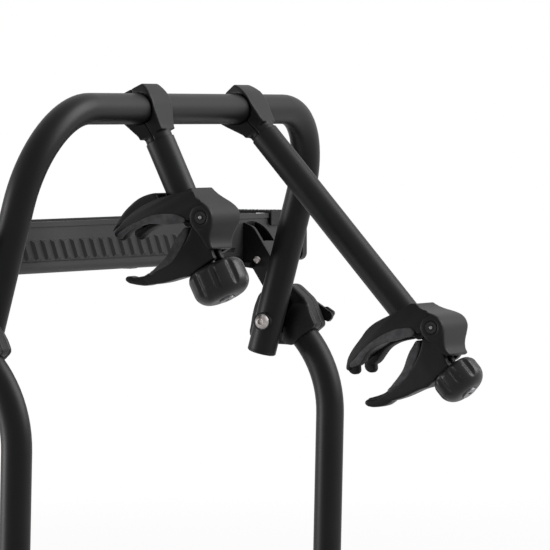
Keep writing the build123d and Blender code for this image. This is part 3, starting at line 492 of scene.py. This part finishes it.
def add_skin(piece, skin_mm, passes, keep):
    """Wraps a piece in small squares, relaxes them and thins them out, with live modifiers."""
    skin = piece.modifiers.new("skin", "REMESH")
    skin.mode = "VOXEL"
    skin.voxel_size = skin_mm / 1000
    skin.use_smooth_shade = True
    relax = piece.modifiers.new("relax", "SMOOTH")
    relax.iterations = passes
    thin = piece.modifiers.new("thin", "DECIMATE")
    thin.ratio = keep


def soften(name, skin_mm, passes, keep):
    """Rounds all edges of a solid; more passes make rounder edges."""
    weld = nodes[name].modifiers.new("weld", "WELD")
    weld.merge_threshold = merge_gap
    add_skin(nodes[name], skin_mm, passes, keep)


for side in ("short", "long"):
    soften(f"{side}_claw_head", 0.8, 32, 0.25)
    soften(f"{side}_jaw", 0.8, 24, 0.25)
    soften(f"{side}_knob", 0.8, 6, 0.3)
    for half in ("front", "rear"):
        soften(f"{side}_collar_{half}", 0.8, 16, 0.25)
for side in ("left", "right"):
    soften(f"hub_body_{side}", 0.8, 6, 0.25)
    soften(f"hub_cap_{side}", 0.8, 6, 0.25)
    soften(f"lever_grip_{side}", 0.5, 4, 0.4)
print("softened:", sum("thin" in solid.modifiers for solid in nodes.values()), "solids")

# %% [markdown]
# ## A claw's own frame
# The pads and tips are drawn in the plane that the claw works in. `across` runs into the mouth, `down`
# runs along the arm, and the third axis points at the viewer's side. The claw screw marks the middle. The
# short arm hangs at one angle and the long one at another, and the short claw's jaw is a little open.

# %% Claw frames
arm_swing = {"short": 25.3, "long": 41.5}
jaw_gape = {"short": 7.5, "long": 0.0}


def middle_of(name):
    """The middle of a solid's box."""
    low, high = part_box(name)
    return (Vector(low) + Vector(high)) / 2


def claw_frame(side, gape=0.0):
    """The matrix from a claw's plane, in metres, to the carrier."""
    swing = radians(arm_swing[side])
    across = Vector((0, cos(swing), -sin(swing)))
    down = Vector((0, -sin(swing), -cos(swing)))
    turn = radians(gape)
    first = across * cos(turn) + down * sin(turn)
    second = down * cos(turn) - across * sin(turn)
    place = Matrix((first, second, (-1, 0, 0))).transposed().to_4x4()
    place.translation = middle_of(f"{side}_claw_screw")
    return place


print("claw screws:", [[round(value, 3) for value in claw_frame(side).translation] for side in arm_swing])

# %% [markdown]
# ## Flat pieces with rounded rims
# Pads, lips and tips are flat shapes with a soft edge. Such a shape is quickest drawn as a flat curve
# through a few points: the curve gives the outline, its extrusion the thickness and its bevel the rim.
# Then it becomes a mesh and is set in place.

# %% Plates
curve_steps = 5
rim_steps = 2
crisp_angle = radians(50)


def plate(name, place, outline, half_mm, rim_mm, lift_mm=0.0, taper=None, lean=None):
    """A plate from an outline in millimetres; taper and lean say where they start and how much per mm."""
    bpy.ops.object.select_all(action="DESELECT")
    bpy.ops.curve.primitive_bezier_circle_add()
    drawn = bpy.context.object
    drawn.name = name
    curve = drawn.data
    curve.dimensions = "2D"
    curve.fill_mode = "BOTH"
    curve.resolution_u = curve_steps
    curve.splines.clear()
    line = curve.splines.new("BEZIER")
    line.bezier_points.add(len(outline) - 1)
    for point, (across, down) in zip(line.bezier_points, outline):
        point.co = (across / 1000, down / 1000, 0)
        point.handle_left_type = point.handle_right_type = "AUTO"
    line.use_cyclic_u = True
    curve.bevel_depth = rim_mm / 1000
    curve.bevel_resolution = rim_steps
    curve.offset = -rim_mm / 1000
    curve.extrude = (half_mm - rim_mm) / 1000
    bpy.ops.object.convert(target="MESH")
    mesh = drawn.data
    bpy.ops.object.mode_set(mode="EDIT")
    bpy.ops.mesh.select_all(action="SELECT")
    bpy.ops.mesh.remove_doubles(threshold=merge_gap)
    bpy.ops.mesh.normals_make_consistent(inside=False)
    bpy.ops.object.mode_set(mode="OBJECT")
    for vertex in mesh.vertices:
        if taper:
            vertex.co.z *= 1 - max(0.0, vertex.co.x * 1000 - taper[0]) * taper[1]
        if lean:
            vertex.co.z -= max(0.0, vertex.co.x - lean[0] / 1000) * lean[1]
        vertex.co.z += lift_mm / 1000
    drawn.matrix_world = place
    bpy.ops.object.transform_apply(location=True, rotation=True, scale=True)
    bpy.ops.object.shade_smooth_by_angle(angle=crisp_angle)
    return drawn


def dress(piece, body, material):
    """Gives a new piece its finish and the body it moves with."""
    piece.data.materials.clear()
    piece.data.materials.append(material)
    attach(piece, body)
    return piece


# %% [markdown]
# ## Claw fingers
# The fixed finger is moulded hollow, and a smooth cheek closes each of its faces from the tube's socket to
# the tip. A block fills the corner in front of the tube. A web inside the head's skirt stiffens it
# beside the spindle. The finger narrows towards its tip, so the cheeks lean with its faces.

# %% Finger cheeks
finger_root = 20.0
finger_tip = 98.5
finger_half = 31.0
finger_tip_half = 24.5
finger_taper = (finger_half - finger_tip_half) / (finger_tip - finger_root)
cover_edge = 3.0
cheek_half = 1.2
cheek_rim = 0.8
cheek_sunk = 0.4
block_half = 21
block_rim = 1.5
block_shift = 8.5
web_half = 4.5
web_rim = 1.0
web_middle = -18
cheek = {
    "short": (
        (-3, -26),
        (11, -31.0),
        (24.1, -33.7),
        (38.5, -36.1),
        (54.9, -36.8),
        (72.8, -34.3),
        (86.1, -29.8),
        (93.5, -25.5),
        (92, -21),
        (82.2, -24),
        (62.9, -24.3),
        (45.9, -22.5),
        (29.5, -16.6),
        (18.5, -9.5),
        (11.8, -3.2),
        (8.6, -8),
        (3, -11.4),
        (-7, -12.5),
        (-4, -19),
    ),
    "long": (
        (-2, -29.5),
        (12.3, -34.4),
        (26.7, -38.5),
        (38.7, -42),
        (57.4, -43.2),
        (73.7, -41.5),
        (85.1, -39.2),
        (94.2, -35),
        (99, -28.5),
        (92.8, -29),
        (83.3, -30.6),
        (70.4, -31.6),
        (54.5, -29.9),
        (38.2, -25.7),
        (25.2, -19.3),
        (17, -10.5),
        (11.8, -3.2),
        (8.6, -8),
        (3, -11.4),
        (-7, -13),
        (-4, -21),
    ),
}
socket_block = {
    "short": (
        (24, -32.5),
        (33, -33.5),
        (32.5, -30),
        (22, -28),
        (12, -25.5),
        (3, -23.5),
        (1, -26),
        (11, -30.5),
    ),
    "long": (
        (26.5, -37.8),
        (35, -38.5),
        (34, -34),
        (23, -31),
        (12, -28),
        (4, -26),
        (2, -29.3),
        (12.3, -33.6),
    ),
}
skirt_web = {
    "short": (
        (10, 20),
        (9, 25),
        (8, 28.5),
        (11, 30.4),
        (17, 30.4),
        (25, 29.4),
        (31, 26),
        (29, 19),
        (18, 14),
    ),
    "long": (
        (9.5, 23),
        (9, 26),
        (13, 27.8),
        (19.5, 27.8),
        (26, 25),
        (29, 17.5),
        (22, 14),
        (12, 18),
    ),
}
for side in ("short", "long"):
    body = f"{side}_arm"
    place = claw_frame(side)
    block = plate(f"{side}_socket_block", place, socket_block[side], block_half, block_rim, block_shift)
    dress(block, body, claw_plastic)
    web = plate(f"{side}_skirt_web", place, skirt_web[side], web_half, web_rim, web_middle)
    dress(web, body, claw_plastic)
    for sign, face in ((1, "near"), (-1, "far")):
        lean = (finger_root, sign * finger_taper)
        lift = sign * (finger_half - cheek_sunk)
        outline = cheek[side]
        if face == "far":
            outline = tuple((max(across, cover_edge), down) for across, down in outline)
        skin = plate(f"{side}_cheek_{face}", place, outline, cheek_half, cheek_rim, lift, lean=lean)
        dress(skin, body, claw_plastic)
    print(side, "cheek:", [round(size * 1000) for size in skin.dimensions], "mm")

# %% [markdown]
# ## Claw pads
# Rubber lines the inside of both prongs. Its soft grey rim shows on the faces as a crescent, thickest near
# the screw. The liner itself is painted near-black, as painted shade for the inside of the mouth. Each
# prong ends in a rounded toe. The liners keep clear of the middle, where the jaw closes.

# %% Finger pads
crescent = {
    "short": (
        (15.9, -4.9),
        (19, -10.7),
        (29.5, -17.8),
        (45.9, -23.6),
        (62.9, -25.4),
        (82.2, -25.2),
        (91, -21.9),
        (89, -18.4),
        (82.7, -20.4),
        (69.7, -21.8),
        (58.2, -20.1),
        (49.2, -16.0),
        (39.3, -10.8),
        (26.6, -5.8),
    ),
    "long": (
        (16, -10),
        (25, -20.4),
        (38, -26.8),
        (54.5, -31),
        (70, -32.7),
        (83, -31.7),
        (94, -29.5),
        (90, -26),
        (84, -25),
        (77, -26.5),
        (67.8, -28.1),
        (58.4, -26.6),
        (51.5, -23.8),
        (42.7, -18.7),
        (29.7, -12.3),
        (19.5, -7.3),
    ),
}
toe = {
    "short": (
        (82, -30),
        (88, -29.5),
        (93.5, -26),
        (94, -22),
        (91.5, -17.5),
        (87.5, -17),
        (84, -20),
        (81, -24),
    ),
    "long": (
        (86, -37),
        (92, -36),
        (97.5, -32),
        (99.5, -27),
        (97, -21.5),
        (92.5, -20),
        (88.5, -23.5),
        (86, -28),
    ),
}
liner_half = 7.2
liner_rim = 1.6
liner_proud = 0.4
lip_half = 1.4
lip_rim = 0.7
lip_proud = 0.5
toe_middle = 19.5
toe_half = 4.6
toe_rim = 2.6
for side in ("short", "long"):
    body = f"{side}_arm"
    place = claw_frame(side)
    for sign, face in ((1, "near"), (-1, "far")):
        lean = (finger_root, sign * finger_taper)
        lift = sign * (finger_half + liner_proud - liner_half)
        # The liner is painted near-black, as painted shade for the mouth's inside; the grey rim is the
        # rubber's own colour.
        pad = plate(f"{side}_liner_{face}", place, crescent[side], liner_half, liner_rim, lift, lean=lean)
        dress(pad, body, toe_rubber)
        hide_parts(f"{side}_upper_pad")
        lift = sign * (finger_half + lip_proud)
        rim = plate(f"{side}_rim_{face}", place, crescent[side], lip_half, lip_rim, lift, lean=lean)
        dress(rim, body, pad_rubber)
        tip = plate(f"{side}_finger_toe_{face}", place, toe[side], toe_half, toe_rim, sign * toe_middle)
        dress(tip, body, toe_rubber)
    print(side, "liner:", [round(size * 1000) for size in pad.dimensions], "mm")

# %% [markdown]
# ## Jaw pads and tips
# The jaw carries a liner on its inner edge, thick in the middle and drawn out to a point at both ends. The
# jaw ends in a round tip that can't scratch a frame, and that runs into the jaw's own edges.

# %% Jaw pads
jaw_liner = (
    (26, -4.4),
    (36.4, -3.9),
    (46.4, -0.3),
    (58.3, 5.6),
    (69.6, 8.0),
    (79, 9.2),
    (86, 11.2),
    (78, 12.6),
    (70, 13.8),
    (59.6, 14.4),
    (50.6, 12.1),
    (39.7, 7.3),
    (32.7, 3.0),
    (27.6, -1.8),
)
jaw_taper = (38.0, 0.0057)
jaw_liner_half = 12.6
jaw_liner_rim = 1.4
jaw_tip_half = 8.2
jaw_tip_rim = 2.4
jaw_tip = {
    "short": (
        (84, 11),
        (95, 8),
        (102, 5),
        (105.4, 1.2),
        (108.8, -0.8),
        (111.6, 0.6),
        (111, 4.6),
        (107, 9),
        (103, 12.5),
        (94, 18.4),
        (86, 19),
    ),
    "long": (
        (84, 11.5),
        (93, 9.0),
        (100.4, 7.2),
        (105, 4.2),
        (109.5, 1.8),
        (112.8, 2.6),
        (113.4, 5.8),
        (111.1, 9.6),
        (106.5, 13.8),
        (101.3, 17.2),
        (94, 20),
        (86, 19),
    ),
}
for side in ("short", "long"):
    place = claw_frame(side, jaw_gape[side])
    body = f"{side}_jaw_set"
    pad = plate(f"{side}_jaw_liner", place, jaw_liner, jaw_liner_half, jaw_liner_rim, taper=jaw_taper)
    dress(pad, body, pad_rubber)
    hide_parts(f"{side}_jaw_pad")
    tip = plate(f"{side}_jaw_toe", place, jaw_tip[side], jaw_tip_half, jaw_tip_rim)
    dress(tip, body, claw_plastic)
    print(side, "jaw tip:", [round(size * 1000) for size in tip.dimensions], "mm")

# %% [markdown]
# ## Painted screw glints
# The claw screw sits deep in a dark recess, and only the middle of its head catches the light. A small
# bright button is a painted highlight for that glint, on both ends of the screw.

# %% Painted screw glints
glint_radius = 1.8
glint_half = 0.9
glint_rim = 0.5
around = [radians(45 * step) for step in range(8)]
glint_outline = tuple((glint_radius * cos(angle), glint_radius * sin(angle)) for angle in around)
low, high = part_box("long_claw_screw")
screw_half = (high.x - low.x) / 2 * 1000
for side in ("short", "long"):
    place = claw_frame(side)
    for sign, face in ((1, "near"), (-1, "far")):
        lift = sign * screw_half
        # A bright metal button on each end: painted highlight for the glint in the screw's recess.
        shine = plate(f"{side}_screw_centre_{face}", place, glint_outline, glint_half, glint_rim, lift)
        dress(shine, f"{side}_arm", lock_metal)
print("screw ends at", round(screw_half, 1), "mm from the middle")

# %% [markdown]
# ## Soft copies
# Foam and straps have the solids' sizes, but no sharp edge anywhere. They could be drawn anew, and would
# then miss the places where they fit their neighbours. So each starts as a welded copy of its solid in a
# skin of small squares, with the skin applied.


# %% Soft copies
def soft_copy(node, name, skin_mm, passes, keep):
    """A copy of a solid with all edges relaxed, on its own mesh."""
    bpy.ops.object.select_all(action="DESELECT")
    copy = nodes[node].copy()
    copy.data = nodes[node].data.copy()
    copy.parent = None
    copy.name = name
    bpy.context.collection.objects.link(copy)
    copy.select_set(True)
    bpy.context.view_layer.objects.active = copy
    bpy.ops.object.mode_set(mode="EDIT")
    bpy.ops.mesh.select_all(action="SELECT")
    bpy.ops.mesh.remove_doubles(threshold=merge_gap)
    bpy.ops.object.mode_set(mode="OBJECT")
    add_skin(copy, skin_mm, passes, keep)
    for step in ("skin", "relax", "thin"):
        bpy.ops.object.modifier_apply(modifier=step)
    bpy.ops.object.shade_smooth()
    return copy


# %% [markdown]
# ## Rest pad
# The pad that leans on the vehicle is a foam sleeve, cut in ribs so that it grips and dries. A wave that
# runs along the sleeve presses the skin in, towards the tube, and leaves both ends plain.

# %% Rest pad
rib_every = 0.019
rib_deep = 0.0016
rib_sharp = 12
plain_end = 0.012
foam = soft_copy("rest_pad", "rest_foam", 1.6, 10, 0.6)
low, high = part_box("rest_pad")
axis_y = (low.y + high.y) / 2
end_x = high.x - plain_end
for vertex in foam.data.vertices:
    x, y, z = vertex.co
    if abs(x) < end_x:
        groove = cos(x / rib_every * pi) ** rib_sharp * rib_deep
        shrink = 1 - groove / hypot(y - axis_y, z)
        vertex.co.y = axis_y + (y - axis_y) * shrink
        vertex.co.z = z * shrink
dress(foam, "lower_frame", rest_rubber)
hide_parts("rest_pad")
print("foam:", len(foam.data.polygons), "faces")

# %% [markdown]
# ## Wheel straps
# The straps are ribbed across, so that the ratchet can hold them. The same kind of wave raises the faces
# that look up, and each face counts as looking up when it leans less than about 37 degrees.

# %% Wheel straps
tooth_every = 0.0042
tooth_high = 0.0007
looks_up = 0.8
for tray in ("front", "rear"):
    strap = soft_copy(f"wheel_straps_{tray}", f"ribbed_straps_{tray}", 0.65, 3, 0.4)
    for vertex in strap.data.vertices:
        if vertex.normal.z > looks_up:
            wave = (1 + cos(vertex.co.y / tooth_every * 2 * pi)) / 2
            vertex.co.z += tooth_high * wave**2
    dress(strap, "platform", strap_rubber)
    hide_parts(f"wheel_straps_{tray}")
    print(strap.name + ":", len(strap.data.polygons), "faces")

# %% [markdown]
# ## Tray ends
# The caps are cups, so a thin wall closes each tray's end. In the photo the window near the end looks
# black, because this wall is behind it. The wall is drawn from the lower corner of the tray's section.

# %% Tray ends
end_wall = (
    (3.5, 12),
    (4.5, 5.5),
    (8, 3.4),
    (15, 3),
    (47, 3),
    (54, 3.4),
    (57.5, 5.5),
    (58.5, 12),
    (58.5, 40),
    (57, 43.5),
    (50, 44),
    (12, 44),
    (5, 43.5),
    (3.5, 40),
)
end_wall_half = 1.4
end_wall_rim = 0.5
end_wall_in = 0.0025
tray_wide = 0.062
rim_out = 0.002


def upright(x, y, z):
    """A plane square to the trays' length: first axis away from the vehicle, second one up."""
    place = Matrix(((0, 1, 0), (0, 0, 1), (1, 0, 0))).transposed().to_4x4()
    place.translation = (x, y, z)
    return place


for tray in ("front", "rear"):
    low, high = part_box(f"tray_{tray}")
    for sign, end in ((-1, "left"), (1, "right")):
        place = upright(sign * (high.x - end_wall_in), high.y - tray_wide - rim_out, low.z)
        wall = plate(f"tray_end_{tray}_{end}", place, end_wall, end_wall_half, end_wall_rim)
        dress(wall, "platform", housing_plastic)
print("tray ends at", round(high.x - end_wall_in, 4))

# %% [markdown]
# ## Hub flanges
# Behind the bow's leg a flange of the hub stands out as a dark sliver. It is part of a circle about the
# pivot, with a square step at its lower end.

# %% Hub flanges
flange = (
    (8, 30),
    (18, 31.5),
    (25.3, 27.8),
    (30.3, 18.9),
    (33.9, 7.8),
    (36.4, -5.5),
    (37.8, -14.3),
    (36.5, -17.3),
    (28, -17.8),
    (14, -12),
    (8, 8),
)
pivot = middle_of("pivot_bolts")
flange_x = 0.333
flange_half = 1.6
flange_rim = 0.8
for sign, side in ((-1, "left"), (1, "right")):
    place = upright(sign * flange_x, pivot.y, pivot.z)
    piece = plate(f"hub_flange_{side}", place, flange, flange_half, flange_rim)
    dress(piece, "lower_frame", housing_plastic)
print("hub flanges round", [round(value, 4) for value in pivot])
